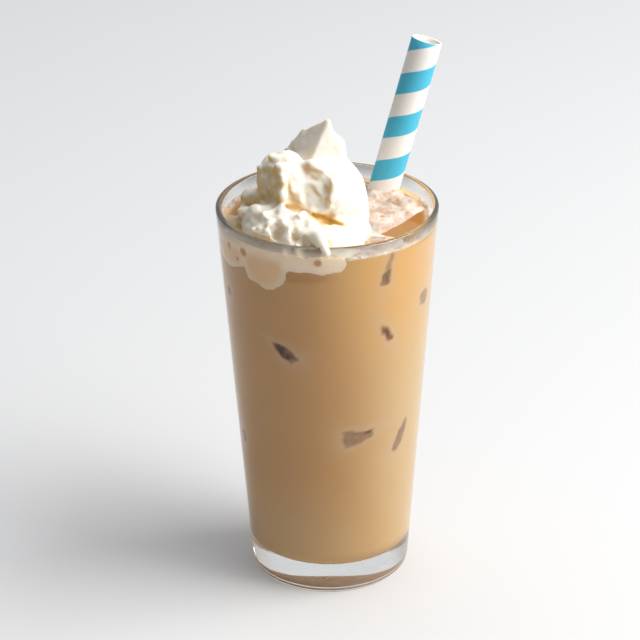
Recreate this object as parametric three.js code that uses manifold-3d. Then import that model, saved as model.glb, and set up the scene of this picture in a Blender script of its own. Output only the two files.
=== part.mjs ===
// A tall glass of iced coffee with floating ice, a spooned heap of whipped cream and a wide paper straw.
// Millimetres, +Z up. The origin is the centre of the glass's foot, and the viewer stands towards -Y.
import * as THREE from "three";
import { RoundedBoxGeometry } from "three/addons/geometries/RoundedBoxGeometry.js";
import { mergeVertices } from "three/addons/utils/BufferGeometryUtils.js";
import Module from "manifold-3d";

const wasm = await Module();
wasm.setup();

// Driving dimensions of the glass, a conical tumbler of about half a litre
const GLASS_HEIGHT = 157;
const RIM_RADIUS = 43;
const FOOT_RADIUS = 31.3; // where the outer wall's line meets the table
const RIM_THICKNESS = 2.3;
const FOOT_THICKNESS = 3.1; // of the side wall, at the inner floor
const FLOOR_HEIGHT = 13;
const HEEL_ROUND = 5;
const FLOOR_ROUND = 6;
const GLASS_SIDES = 64;

// The drink
const COFFEE_LEVEL = 151;
const GAP = 0.35; // left between pieces that touch

// The straw leans to the back right and stands on the glass's floor
const STRAW_RADIUS = 6;
const STRAW_WALL = 0.7;
const STRAW_LENGTH = 206;
const STRAW_AT_RIM = new THREE.Vector3(23.5, 24.1, GLASS_HEIGHT);
const STRAW_LEAN = new THREE.Vector3(15.7, 7, 55).normalize();
const STRAW_SIDES = 28;

// Ice cubes that break the surface: middle of the cube, its size, and its turn and tilt in degrees
const ICE_ROUND = 3;
const ICE_CUBES = [
  { name: "ice_front", at: [18.8, -1.2, 144.6], size: [21, 20.5, 19], turn: 52, tilt: 2 },
  { name: "ice_right", at: [29.2, 11.3, 146.8], size: [9.8, 11, 14], turn: 52, tilt: -3 },
  { name: "ice_back", at: [-2, 27.5, 145.6], size: [20, 18, 17], turn: 12, tilt: 4 },
  { name: "ice_left", at: [-21.5, 19, 145.4], size: [15, 16, 17], turn: -42, tilt: -5 },
];

// The cream heap. Lumps are ellipsoids, ridges are tapered rods, and blend is how softly each one runs
// into those before it.
const CREAM_LUMPS = [
  { at: [-9, -9, 150.5], size: [27, 26, 8.5], turn: 0, blend: 0 }, // what lies on the coffee
  { at: [-3, 3, 162], size: [16, 14, 14], turn: 0, blend: 5 }, // the bulk under the peak
  { at: [5, -2, 158], size: [10.5, 15, 14], turn: 0, blend: 4 }, // the right flank
  { at: [-16, -10, 170], size: [10.5, 12.5, 12], turn: 15, blend: 2 }, // the middle fold
  { at: [-6, -13, 165], size: [9.5, 10, 10], turn: 0, blend: 2.5 }, // its lower right end
];
const FRONT_LUMPS = [
  { at: [-18, -27, 158.5], size: [14.5, 9, 7.6], turn: -12, blend: 2 }, // the front fold
  { at: [6, -26, 151.5], size: [11, 13, 4], turn: 0, blend: 5 }, // the skirt at the front
];
const FOLD_RIDGES = [
  { from: [-20.4, -13, 181.4], to: [-9.7, -13, 178.2], thick: [1.6, 2], blend: 2 }, // middle fold's crest
  { from: [-9.7, -13, 178.2], to: [2.2, -15.8, 171.8], thick: [2, 1.7], blend: 2 },
  { from: [-17.3, -19.6, 179], to: [-17.1, -22.2, 167], thick: [2, 2.4], blend: 2.5 }, // its prow
];
const FRONT_RIDGES = [
  { from: [-22, -24, 159], to: [-31, -18, 160.5], thick: [4.5, 1.8], blend: 4 }, // front fold's left end
  { from: [-9.5, -28.5, 162.6], to: [-3.2, -36, 157.9], thick: [2.6, 2.6], blend: 3 }, // ridge to the rim
];
// The flat left side of the middle fold, cut in front of one depth and above one height
const FOLD_FACE = { through: [-18.6, -22, 172], facing: [-0.79, -0.6, 0.12], blend: 0.8 };
const FOLD_FACE_DEPTH = -5;
const FOLD_FACE_HEIGHT = 160;
const SCOOP = { at: [-2.2, -31.4, 171.8], radius: 13, blend: 0.8 };
const TIP = [0.6, 2.4, 190.4];
const PEAK_RIDGES = [
  { from: [-1.5, 4, 164], to: [0.7, 2.8, 189.4], thick: [13.2, 0.9], blend: 0 }, // the cone
  { from: [0.7, 2.4, 189.8], to: [-6, -3, 174.8], thick: [0.7, 2.4], blend: 4 }, // its front edge
  { from: [-6, -3, 174.8], to: [-8, -5, 168], thick: [2.4, 4], blend: 4 },
];
const PEAK_LUMPS = [
  { at: [2.2, 3.5, 178.5], size: [5.8, 6, 7], turn: 0, blend: 2 },
  { at: [-8, 6, 169], size: [12, 9.5, 11], turn: 0, blend: 2 },
];
const PEAK_FACET = { through: TIP, facing: [-0.741, -0.458, 0.491] }; // the flat side of peak and fin
// The fin, in two blocks. Each is what lies behind the peak's facet and behind all of these planes.
const FIN_BLOCKS = [
  [
    { through: TIP, facing: [0.288, 0.807, 0.516] },
    { through: [-11.9, 11, 179], facing: [-0.9, 0.05, 0.43] },
    { through: TIP, facing: [0.75, -0.55, -0.132] },
  ],
  [
    { through: [-12.5, 10.5, 178.2], facing: [0.147, 0.855, 0.497] },
    { through: [-19.9, 15.6, 171.6], facing: [-0.93, 0.2, 0.3] },
    { through: TIP, facing: [0.75, -0.55, -0.132] },
  ],
];
const FIN_FOOT = 158;
const RIM_DRIP = { from: [-3.2, -36, 158.4], to: [-0.4, -43.9, 155.8], thick: [2.5, 2.1] };
const WALL_SMEAR = { fromDegrees: -174, toDegrees: -86, height: 149.5, inset: 2, thick: 4.2, blend: 3 };
const WALL_LOBES = [
  { degrees: -127, height: 146, inset: 1.5, size: [10.5, 4, 10.7], blend: 2 },
  { degrees: -157, height: 147, inset: 1.5, size: [12.5, 4, 7.8], blend: 2 },
];
const CREAM_RIPPLE = { depth: 0.55, length: 9 };
const CREAM_BOX = { low: [-45, -50, 132], high: [24, 31, 194] };
const CREAM_CELL = 2.5;

// Colours
const LOOKS = {
  glass: { color: 0xdfe8e6, roughness: 0.03, metalness: 0, transparent: true, opacity: 0.3 },
  coffee: { color: 0xbd8f5f, roughness: 0.35, metalness: 0 },
  cream: { color: 0xf6f0e2, roughness: 0.65, metalness: 0 },
  straw: { color: 0x58b4cd, roughness: 0.7, metalness: 0 },
  ice: { color: 0xe6d2c2, roughness: 0.15, metalness: 0, transparent: true, opacity: 0.7 },
};

// The glass's walls as radii at a height
const outerRadius = (z) => FOOT_RADIUS + ((RIM_RADIUS - FOOT_RADIUS) * z) / GLASS_HEIGHT;
const wallThickness = (z) =>
  FOOT_THICKNESS + ((RIM_THICKNESS - FOOT_THICKNESS) * (z - FLOOR_HEIGHT)) / (GLASS_HEIGHT - FLOOR_HEIGHT);
const innerRadius = (z) => outerRadius(z) - wallThickness(z);

// Solids from three.js geometry and back, for the cuts
function solidFrom(geometry) {
  const bare = new THREE.BufferGeometry();
  bare.setAttribute("position", geometry.getAttribute("position"));
  if (geometry.index) bare.setIndex(geometry.index);
  const merged = mergeVertices(bare, 1e-3);
  const corners = merged.index.array;
  const triangles = [];
  for (let i = 0; i < corners.length; i += 3) {
    const [a, b, c] = corners.slice(i, i + 3);
    if (a !== b && b !== c && c !== a) triangles.push(a, b, c);
  }
  return new wasm.Manifold(
    new wasm.Mesh({
      numProp: 3,
      vertProperties: merged.getAttribute("position").array,
      triVerts: new Uint32Array(triangles),
    }),
  );
}

function geometryFrom(solid) {
  const cut = solid.getMesh();
  const geometry = new THREE.BufferGeometry();
  geometry.setAttribute("position", new THREE.BufferAttribute(cut.vertProperties, 3));
  geometry.setIndex(new THREE.BufferAttribute(cut.triVerts, 1));
  geometry.computeVertexNormals();
  return geometry;
}

// The largest body of a solid, without loose scraps that a cut left
function largestBody(solid) {
  return solid.decompose().reduce((best, body) => (body.volume() > best.volume() ? body : best));
}

function turnedAboutZ(path, sides) {
  const geometry = new THREE.LatheGeometry(path.getPoints(5), sides);
  return geometry.rotateX(Math.PI / 2);
}

function nodeMesh(name, geometry, looks) {
  const mesh = new THREE.Mesh(geometry, new THREE.MeshStandardMaterial(LOOKS[looks]));
  mesh.name = name;
  return mesh;
}

// The tumbler: a thick flat foot with a round heel, a conical wall and a round rim
function glassGeometry() {
  const rimRound = RIM_THICKNESS / 2;
  const shoulder = GLASS_HEIGHT - rimRound;
  const floorEdge = innerRadius(FLOOR_HEIGHT);
  const path = new THREE.Path();
  path.moveTo(0, 0);
  path.lineTo(FOOT_RADIUS - HEEL_ROUND, 0);
  path.quadraticCurveTo(outerRadius(0), 0, outerRadius(HEEL_ROUND), HEEL_ROUND);
  path.lineTo(outerRadius(shoulder), shoulder);
  path.quadraticCurveTo(RIM_RADIUS, GLASS_HEIGHT, RIM_RADIUS - rimRound, GLASS_HEIGHT);
  path.quadraticCurveTo(RIM_RADIUS - RIM_THICKNESS, GLASS_HEIGHT, innerRadius(shoulder), shoulder);
  path.lineTo(innerRadius(FLOOR_HEIGHT + FLOOR_ROUND), FLOOR_HEIGHT + FLOOR_ROUND);
  path.quadraticCurveTo(floorEdge, FLOOR_HEIGHT, floorEdge - FLOOR_ROUND, FLOOR_HEIGHT);
  path.lineTo(0, FLOOR_HEIGHT);
  return turnedAboutZ(path, GLASS_SIDES);
}

// What the drink would fill with nothing else in the glass
function brimGeometry() {
  const floor = FLOOR_HEIGHT + GAP;
  const floorEdge = innerRadius(floor) - GAP;
  const path = new THREE.Path();
  path.moveTo(0, floor);
  path.lineTo(floorEdge - FLOOR_ROUND, floor);
  path.quadraticCurveTo(floorEdge, floor, innerRadius(floor + FLOOR_ROUND) - GAP, floor + FLOOR_ROUND);
  path.lineTo(innerRadius(COFFEE_LEVEL) - GAP, COFFEE_LEVEL);
  path.lineTo(0, COFFEE_LEVEL);
  return turnedAboutZ(path, GLASS_SIDES);
}

// The upper wall and rim of the glass with a gap round them, as a cutter for the cream
function rimGeometry() {
  const low = CREAM_BOX.low[2] - GAP;
  const round = RIM_THICKNESS / 2 + GAP;
  const top = GLASS_HEIGHT + GAP;
  const inner = (z) => innerRadius(z) - GAP;
  const outer = (z) => outerRadius(z) + GAP;
  const path = new THREE.Path();
  path.moveTo(inner(low), low);
  path.lineTo(outer(low), low);
  path.lineTo(outer(top - round), top - round);
  path.quadraticCurveTo(outer(top), top, outer(top) - round, top);
  path.quadraticCurveTo(inner(top), top, inner(top - round), top - round);
  path.lineTo(inner(low), low);
  return turnedAboutZ(path, GLASS_SIDES);
}

// A straight tube along the straw's axis, made thicker by grow on every side
function strawGeometry(grow) {
  const inner = STRAW_RADIUS - STRAW_WALL - grow;
  const outer = STRAW_RADIUS + grow;
  const path = new THREE.Path();
  path.moveTo(inner, -grow);
  path.lineTo(outer, -grow);
  path.lineTo(outer, STRAW_LENGTH + grow);
  path.lineTo(inner, STRAW_LENGTH + grow);
  path.lineTo(inner, -grow);
  return turnedAboutZ(path, STRAW_SIDES);
}

function placeStraw(object) {
  const lowest = STRAW_RADIUS * Math.hypot(STRAW_LEAN.x, STRAW_LEAN.y);
  const footHeight = FLOOR_HEIGHT + GAP + lowest;
  const along = (footHeight - STRAW_AT_RIM.z) / STRAW_LEAN.z;
  object.position.copy(STRAW_AT_RIM).addScaledVector(STRAW_LEAN, along);
  object.quaternion.setFromUnitVectors(new THREE.Vector3(0, 0, 1), STRAW_LEAN);
  return object;
}

function iceGeometry(cube, grow) {
  const [width, depth, height] = cube.size.map((side) => side + 2 * grow);
  return new RoundedBoxGeometry(width, depth, height, 2, ICE_ROUND + grow);
}

function placeIce(object, cube) {
  object.position.set(...cube.at);
  object.rotation.set(THREE.MathUtils.degToRad(cube.tilt), 0, THREE.MathUtils.degToRad(cube.turn), "ZXY");
  return object;
}

// A geometry moved to where its mesh stands
function inPlace(geometry, place) {
  const holder = place(new THREE.Object3D());
  holder.updateMatrix();
  return geometry.clone().applyMatrix4(holder.matrix);
}

// Signed distances in millimetres, negative inside
function softUnion(a, b, blend) {
  const near = blend > 0 ? Math.max(blend - Math.abs(a - b), 0) / blend : 0;
  return Math.min(a, b) - (near * near * blend) / 4;
}

function softCut(a, b, blend) {
  return -softUnion(-a, -b, blend);
}

function lumpDistance(p, lump) {
  const turn = THREE.MathUtils.degToRad(lump.turn);
  const dx = p.x - lump.at[0];
  const dy = p.y - lump.at[1];
  const local = [
    dx * Math.cos(turn) + dy * Math.sin(turn),
    dy * Math.cos(turn) - dx * Math.sin(turn),
    p.z - lump.at[2],
  ];
  const scaled = Math.hypot(...local.map((v, i) => v / lump.size[i]));
  const slope = Math.hypot(...local.map((v, i) => v / lump.size[i] ** 2));
  return slope > 0 ? (scaled * (scaled - 1)) / slope : -Math.min(...lump.size);
}

function ridgeDistance(p, ridge) {
  const from = new THREE.Vector3(...ridge.from);
  const along = new THREE.Vector3(...ridge.to).sub(from);
  const offset = p.clone().sub(from);
  const share = THREE.MathUtils.clamp(offset.dot(along) / along.lengthSq(), 0, 1);
  return offset.addScaledVector(along, -share).length() - THREE.MathUtils.lerp(...ridge.thick, share);
}

function smearDistance(p) {
  const middle = (WALL_SMEAR.fromDegrees + WALL_SMEAR.toDegrees) / 2;
  const half = THREE.MathUtils.degToRad(WALL_SMEAR.toDegrees - WALL_SMEAR.fromDegrees) / 2;
  const middleAngle = THREE.MathUtils.degToRad(middle);
  const turned = Math.atan2(p.y, p.x) - middleAngle;
  const wrapped = Math.atan2(Math.sin(turned), Math.cos(turned));
  const angle = middleAngle + THREE.MathUtils.clamp(wrapped, -half, half);
  const radius = innerRadius(WALL_SMEAR.height) - WALL_SMEAR.inset;
  const nearest = new THREE.Vector3(radius * Math.cos(angle), radius * Math.sin(angle), WALL_SMEAR.height);
  return p.distanceTo(nearest) - WALL_SMEAR.thick;
}

function wallLump(lobe) {
  const angle = THREE.MathUtils.degToRad(lobe.degrees);
  const radius = innerRadius(lobe.height) - lobe.inset;
  const at = [radius * Math.cos(angle), radius * Math.sin(angle), lobe.height];
  return { at, size: lobe.size, turn: lobe.degrees + 90, blend: lobe.blend };
}

function planeDistance(p, plane) {
  const offset = p.clone().sub(new THREE.Vector3(...plane.through));
  return offset.dot(new THREE.Vector3(...plane.facing).normalize());
}

function withLumps(p, body, lumps) {
  return lumps.reduce((sum, lump) => softUnion(sum, lumpDistance(p, lump), lump.blend), body);
}

function withRidges(p, body, ridges) {
  return ridges.reduce((sum, ridge) => softUnion(sum, ridgeDistance(p, ridge), ridge.blend), body);
}

function peakDistance(p) {
  const facet = planeDistance(p, PEAK_FACET);
  let body = withLumps(p, withRidges(p, Infinity, PEAK_RIDGES), PEAK_LUMPS);
  for (const planes of FIN_BLOCKS) {
    const block = planes.reduce(
      (sum, plane) => softCut(sum, planeDistance(p, plane), 1.5),
      Math.max(facet, FIN_FOOT - p.z),
    );
    body = softUnion(body, block, 1);
  }
  return softCut(body, facet, 0.5);
}

function creamDistance(p) {
  let heap = softUnion(withLumps(p, Infinity, CREAM_LUMPS), peakDistance(p), 2.5);
  heap = withRidges(p, heap, FOLD_RIDGES);
  if (p.y < FOLD_FACE_DEPTH && p.z > FOLD_FACE_HEIGHT) {
    heap = softCut(heap, planeDistance(p, FOLD_FACE), FOLD_FACE.blend);
  }
  const hollow = SCOOP.radius - p.distanceTo(new THREE.Vector3(...SCOOP.at));
  heap = softCut(heap, hollow, SCOOP.blend);
  heap = withRidges(p, withLumps(p, heap, FRONT_LUMPS), FRONT_RIDGES);
  heap = softUnion(heap, smearDistance(p), WALL_SMEAR.blend);
  heap = withLumps(p, heap, WALL_LOBES.map(wallLump));
  const wave = (2 * Math.PI) / CREAM_RIPPLE.length;
  heap += CREAM_RIPPLE.depth * Math.sin(p.x * wave) * Math.sin(p.y * wave + 1) * Math.sin(p.z * wave + 2);
  const inGlass = Math.max(heap, Math.hypot(p.x, p.y) - innerRadius(p.z) - RIM_THICKNESS / 2);
  return softUnion(inGlass, ridgeDistance(p, RIM_DRIP), 1);
}

// A closed skin over the zero level of a distance: one vertex in each cell that the surface crosses
function skinGeometry(distance, box, cell) {
  const count = box.low.map((low, i) => Math.ceil((box.high[i] - low) / cell) + 1);
  const index = (i, j, k) => i + count[0] * (j + count[1] * k);
  const point = (i, j, k) =>
    new THREE.Vector3(box.low[0] + i * cell, box.low[1] + j * cell, box.low[2] + k * cell);
  const value = new Float64Array(count[0] * count[1] * count[2]);
  const everyPoint = (visit) => {
    for (let k = 0; k < count[2]; k++)
      for (let j = 0; j < count[1]; j++) for (let i = 0; i < count[0]; i++) visit(i, j, k);
  };
  everyPoint((i, j, k) => (value[index(i, j, k)] = distance(point(i, j, k))));

  // A grid face with inside and outside corners by turns would let two sheets meet in one edge, so the
  // nearer of its outside corners is counted in.
  let counting = true;
  while (counting) {
    counting = false;
    everyPoint((...here) => {
      for (let axis = 0; axis < 3; axis++) {
        const [u, v] = [(axis + 1) % 3, (axis + 2) % 3];
        if (here[u] === count[u] - 1 || here[v] === count[v] - 1) continue;
        const corner = (du, dv) => index(...here.map((n, d) => n + (d === u ? du : 0) + (d === v ? dv : 0)));
        const face = [corner(0, 0), corner(1, 0), corner(1, 1), corner(0, 1)];
        const inside = face.map((n) => value[n] < 0);
        if (inside[0] !== inside[2] || inside[1] !== inside[3] || inside[0] === inside[1]) continue;
        const [a, b] = face.filter((n, side) => !inside[side]);
        value[value[a] < value[b] ? a : b] = -0.01 * cell;
        counting = true;
      }
    });
  }

  const corners = [0, 1, 2, 3, 4, 5, 6, 7].map((c) => [c & 1, (c >> 1) & 1, (c >> 2) & 1]);
  const edges = corners.flatMap((a, i) =>
    corners.slice(i + 1).filter((b) => a.filter((v, n) => v !== b[n]).length === 1).map((b) => [a, b]),
  );
  const vertexOf = new Int32Array(value.length).fill(-1);
  const positions = [];
  everyPoint((i, j, k) => {
    if (i === count[0] - 1 || j === count[1] - 1 || k === count[2] - 1) return;
    const sum = new THREE.Vector3();
    let crossings = 0;
    for (const [a, b] of edges) {
      const va = value[index(i + a[0], j + a[1], k + a[2])];
      const vb = value[index(i + b[0], j + b[1], k + b[2])];
      if (va < 0 === vb < 0) continue;
      const start = point(i + a[0], j + a[1], k + a[2]);
      sum.add(start.lerp(point(i + b[0], j + b[1], k + b[2]), va / (va - vb)));
      crossings++;
    }
    if (!crossings) return;
    vertexOf[index(i, j, k)] = positions.length / 3;
    positions.push(...sum.divideScalar(crossings).toArray());
  });

  const triangles = [];
  everyPoint((i, j, k) => {
    const here = [i, j, k];
    for (let axis = 0; axis < 3; axis++) {
      const [u, v] = [(axis + 1) % 3, (axis + 2) % 3];
      if (here[axis] === count[axis] - 1 || here[u] === 0 || here[v] === 0) continue;
      const next = here.map((n, d) => n + (d === axis ? 1 : 0));
      const inside = value[index(...here)] < 0;
      if (inside === value[index(...next)] < 0) continue;
      const cellAt = (du, dv) =>
        vertexOf[index(...here.map((n, d) => n - (d === u ? du : 0) - (d === v ? dv : 0)))];
      const [a, b, c, e] = [cellAt(1, 1), cellAt(0, 1), cellAt(0, 0), cellAt(1, 0)];
      if (inside) triangles.push(a, b, c, a, c, e);
      else triangles.push(a, c, b, a, e, c);
    }
  });
  const geometry = new THREE.BufferGeometry();
  geometry.setAttribute("position", new THREE.Float32BufferAttribute(positions, 3));
  geometry.setIndex(triangles);
  return geometry;
}

// The ice and straw with a gap round them, as cutters
const cutters = ICE_CUBES.map((cube) =>
  solidFrom(inPlace(iceGeometry(cube, GAP), (holder) => placeIce(holder, cube))),
);
const strawCutter = solidFrom(inPlace(strawGeometry(GAP), placeStraw));

function creamGeometry() {
  let cream = solidFrom(skinGeometry(creamDistance, CREAM_BOX, CREAM_CELL));
  for (const cutter of [solidFrom(rimGeometry()), ...cutters]) cream = cream.subtract(cutter);
  return geometryFrom(largestBody(cream));
}

function coffeeGeometry() {
  const lid = COFFEE_LEVEL + 2;
  const hollow = (p) => Math.max(creamDistance(p) - 1.5 * GAP, p.z - lid);
  const box = { low: CREAM_BOX.low, high: [CREAM_BOX.high[0], CREAM_BOX.high[1], lid + 2 * CREAM_CELL] };
  let coffee = solidFrom(brimGeometry());
  coffee = coffee.subtract(solidFrom(skinGeometry(hollow, box, CREAM_CELL)));
  for (const cutter of [...cutters, strawCutter]) coffee = coffee.subtract(cutter);
  return geometryFrom(largestBody(coffee));
}

const drink = new THREE.Group();
drink.add(nodeMesh("glass", glassGeometry(), "glass"));
drink.add(nodeMesh("coffee", coffeeGeometry(), "coffee"));
drink.add(nodeMesh("cream", creamGeometry(), "cream"));
drink.add(placeStraw(nodeMesh("straw", strawGeometry(0), "straw")));
for (const cube of ICE_CUBES) drink.add(placeIce(nodeMesh(cube.name, iceGeometry(cube, 0), "ice"), cube));

export default drink;
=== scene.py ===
"""Looks of a frappe: iced coffee in a tall glass, with whipped cream, ice and a striped paper straw.

Shapes are worked out in millimetres, +Z up from the middle of the glass's foot, and become metres when a
mesh is made. The viewer stands towards -Y.
"""

import math

import bpy
import numpy as np
from mathutils import Matrix, Vector


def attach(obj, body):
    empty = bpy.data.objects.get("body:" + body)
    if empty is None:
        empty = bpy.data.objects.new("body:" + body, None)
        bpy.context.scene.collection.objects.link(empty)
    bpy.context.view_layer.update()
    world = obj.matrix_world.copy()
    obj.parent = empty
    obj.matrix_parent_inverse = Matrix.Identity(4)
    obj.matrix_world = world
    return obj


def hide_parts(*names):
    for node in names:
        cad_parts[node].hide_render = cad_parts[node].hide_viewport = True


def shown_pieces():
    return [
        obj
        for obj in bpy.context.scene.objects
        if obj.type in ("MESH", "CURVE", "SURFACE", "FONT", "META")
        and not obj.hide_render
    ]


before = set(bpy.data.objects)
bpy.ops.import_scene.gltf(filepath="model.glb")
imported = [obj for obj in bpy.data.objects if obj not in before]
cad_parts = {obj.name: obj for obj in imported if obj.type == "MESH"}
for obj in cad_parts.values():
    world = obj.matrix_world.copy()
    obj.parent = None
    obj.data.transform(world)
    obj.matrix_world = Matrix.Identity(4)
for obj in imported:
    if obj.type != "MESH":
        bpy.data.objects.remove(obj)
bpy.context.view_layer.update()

# Sizes shared with the solids
GLASS_HEIGHT = 157.0
RIM_RADIUS = 43.0
FOOT_RADIUS = 31.3
RIM_THICKNESS = 2.3
FOOT_THICKNESS = 3.1
FLOOR_HEIGHT = 13.0
HEEL_ROUND = 5.0
FLOOR_ROUND = 6.0
COFFEE_LEVEL = 151.0
STRAW_RADIUS = 6.0
STRAW_WALL = 0.7
STRAW_LENGTH = 206.0
STRAW_AT_RIM = Vector((23.5, 24.1, GLASS_HEIGHT))
STRAW_LEAN = Vector((15.7, 7.0, 55.0)).normalized()
STRAW_CLEAR = 0.35  # gap between the straw's lowest edge and the floor of the glass
STRIPE_PITCH = 18.0
STRIPE_START = 0.573
HEEL_GROOVES = (1.5, 3.4)  # heights of the fine grooves pressed round the heel
GROOVE_WIDTH = 0.4
GROOVE_DEPTH = 0.3
FOOT_HOLLOW = 1.4  # depth of the shallow hollow under the foot
MENISCUS = 0.6  # how far the coffee climbs the wall
INTO_WALL = 0.12  # how far what fills the glass reaches into its wall


def outer_radius(z):
    return FOOT_RADIUS + (RIM_RADIUS - FOOT_RADIUS) * z / GLASS_HEIGHT


def inner_radius(z):
    share = (z - FLOOR_HEIGHT) / (GLASS_HEIGHT - FLOOR_HEIGHT)
    return outer_radius(z) - FOOT_THICKNESS - (RIM_THICKNESS - FOOT_THICKNESS) * share


# Mesh helpers
def make_piece(name, points, faces, slot, nodes=()):
    mesh = bpy.data.meshes.new(name)
    mesh.from_pydata((np.asarray(points) * 0.001).tolist(), [], [list(f) for f in faces])
    mesh.validate()
    mesh.update()
    mesh.shade_smooth()
    piece = bpy.data.objects.new(name, mesh)
    bpy.context.scene.collection.objects.link(piece)
    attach(piece, "root")
    if nodes:
        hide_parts(*nodes)
    return piece


def set_values(piece, name, values):
    layer = piece.data.attributes.new(name, "FLOAT", "POINT")
    layer.data.foreach_set("value", np.asarray(values, np.float32))


def curve_points(a, corner, b, count):
    """Points of a rounded corner from a to b, without a."""
    t = np.linspace(0, 1, count + 1)[1:, None]
    a, corner, b = (np.array(p, float) for p in (a, corner, b))
    return ((1 - t) ** 2 * a + 2 * t * (1 - t) * corner + t**2 * b).tolist()


def line_points(a, b, count):
    t = np.linspace(0, 1, count + 1)[1:, None]
    return (np.array(a, float) * (1 - t) + np.array(b, float) * t).tolist()


def revolve(profile, sides):
    """Points and faces of a profile of (radius, height) turned about Z, closed where it meets the axis."""
    angle = np.arange(sides) * 2 * math.pi / sides
    points, rings = [], []
    for radius, height in profile:
        if radius < 1e-6:
            rings.append([len(points)])
            points.append((0.0, 0.0, height))
        else:
            rings.append(list(range(len(points), len(points) + sides)))
            points.extend(zip(radius * np.cos(angle), radius * np.sin(angle), [height] * sides))
    faces = []
    for low, high in zip(rings, rings[1:]):
        for i in range(sides):
            j = (i + 1) % sides
            if len(low) == 1:
                faces.append((low[0], high[j], high[i]))
            elif len(high) == 1:
                faces.append((low[i], low[j], high[0]))
            else:
                faces.append((low[i], low[j], high[j], high[i]))
    return np.array(points), faces


def skin(field, low, high, step):
    """A closed skin over the zero level of a signed distance, with one vertex in each cell it crosses."""
    low = np.array(low, float)
    axes = [np.arange(a, b + step, step) for a, b in zip(low, high)]
    value = field(*np.meshgrid(*axes, indexing="ij"))
    inside = value < 0
    cells = np.array(value.shape) - 1
    total = np.zeros((*cells, 3), np.float32)
    count = np.zeros(cells, np.int8)
    view = lambda c: tuple(slice(c[d], c[d] + cells[d]) for d in range(3))
    for corner in np.ndindex(2, 2, 2):
        for axis in range(3):
            if corner[axis]:
                continue
            other = tuple(1 if d == axis else corner[d] for d in range(3))
            a, b = value[view(corner)], value[view(other)]
            crossing = (a < 0) != (b < 0)
            share = np.where(crossing, a / np.where(crossing, a - b, 1), 0)
            for d in range(3):
                total[..., d] += crossing * corner[d] + (share if d == axis else 0)
            count += crossing
    active = count > 0
    index = np.full(cells, -1)
    index[active] = np.arange(active.sum())
    points = low + (np.argwhere(active) + total[active] / count[active][:, None]) * step
    faces = []
    for axis in range(3):
        u, v = (axis + 1) % 3, (axis + 2) % 3
        before = np.take(inside, range(cells[axis]), axis)
        edges = np.argwhere(before != np.take(inside, range(1, cells[axis] + 1), axis))
        beside, deep = edges[:, u], edges[:, v]
        edges = edges[(beside > 0) & (deep > 0) & (beside < cells[u]) & (deep < cells[v])]
        du, dv = np.eye(3, dtype=int)[u], np.eye(3, dtype=int)[v]
        quad = np.stack([index[tuple((edges - s).T)] for s in (du + dv, dv, 0 * du, du)], 1)
        starts_inside = before[tuple(edges.T)]
        faces.append(np.where(starts_inside[:, None], quad, quad[:, ::-1]))
    return points, np.concatenate(faces).tolist()


def lattice_noise(x, y, z, size, seed):
    """Smooth noise from -1 to 1 with features of that size, from a seeded lattice that repeats far away."""
    lattice = np.random.default_rng(seed).uniform(-1, 1, (32, 32, 32)).astype(np.float32)
    base, share = [], []
    for c in (x, y, z):
        scaled = np.asarray(c, np.float32) / size + 1000.37
        whole = np.floor(scaled)
        t = scaled - whole
        base.append(whole.astype(int))
        share.append(t * t * (3 - 2 * t))
    result = 0
    for corner in np.ndindex(2, 2, 2):
        weight = 1
        for d in range(3):
            weight = weight * (share[d] if corner[d] else 1 - share[d])
        result = result + weight * lattice[tuple((base[d] + corner[d]) % 32 for d in range(3))]
    return result


def smooth_step(low, high, value):
    t = np.clip((value - low) / (high - low), 0, 1)
    return t * t * (3 - 2 * t)


# Signed distances in millimetres, negative inside
def soft_union(a, b, blend):
    near = np.maximum(blend - np.abs(a - b), 0) / blend
    return np.minimum(a, b) - near * near * blend / 4


def soft_cut(a, b, blend):
    return -soft_union(-a, -b, blend)


def lump_distance(x, y, z, at, size, turn=0.0):
    c, s = math.cos(math.radians(turn)), math.sin(math.radians(turn))
    dx, dy, dz = x - at[0], y - at[1], z - at[2]
    px, py = dx * c + dy * s, dy * c - dx * s
    scaled = np.sqrt((px / size[0]) ** 2 + (py / size[1]) ** 2 + (dz / size[2]) ** 2)
    slope = np.sqrt((px / size[0] ** 2) ** 2 + (py / size[1] ** 2) ** 2 + (dz / size[2] ** 2) ** 2)
    return scaled * (scaled - 1) / np.maximum(slope, 1e-6)


def ridge_distance(x, y, z, start, end, thick):
    a, along = np.array(start, float), np.subtract(end, start).astype(float)
    ox, oy, oz = x - a[0], y - a[1], z - a[2]
    share = np.clip((ox * along[0] + oy * along[1] + oz * along[2]) / (along @ along), 0, 1)
    ox, oy, oz = ox - share * along[0], oy - share * along[1], oz - share * along[2]
    gap = np.sqrt(ox**2 + oy**2 + oz**2)
    return gap - thick[0] - (thick[1] - thick[0]) * share


def box_distance(x, y, z, at, size, turn, tilt, round_by):
    local = Matrix.Rotation(math.radians(turn), 3, "Z") @ Matrix.Rotation(math.radians(tilt), 3, "X")
    d = np.stack([x - at[0], y - at[1], z - at[2]], -1) @ np.array(local)
    q = np.abs(d) - (np.array(size) / 2 - round_by)
    outside = np.sqrt((np.maximum(q, 0) ** 2).sum(-1))
    return outside + np.minimum(q.max(-1), 0) - round_by


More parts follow.
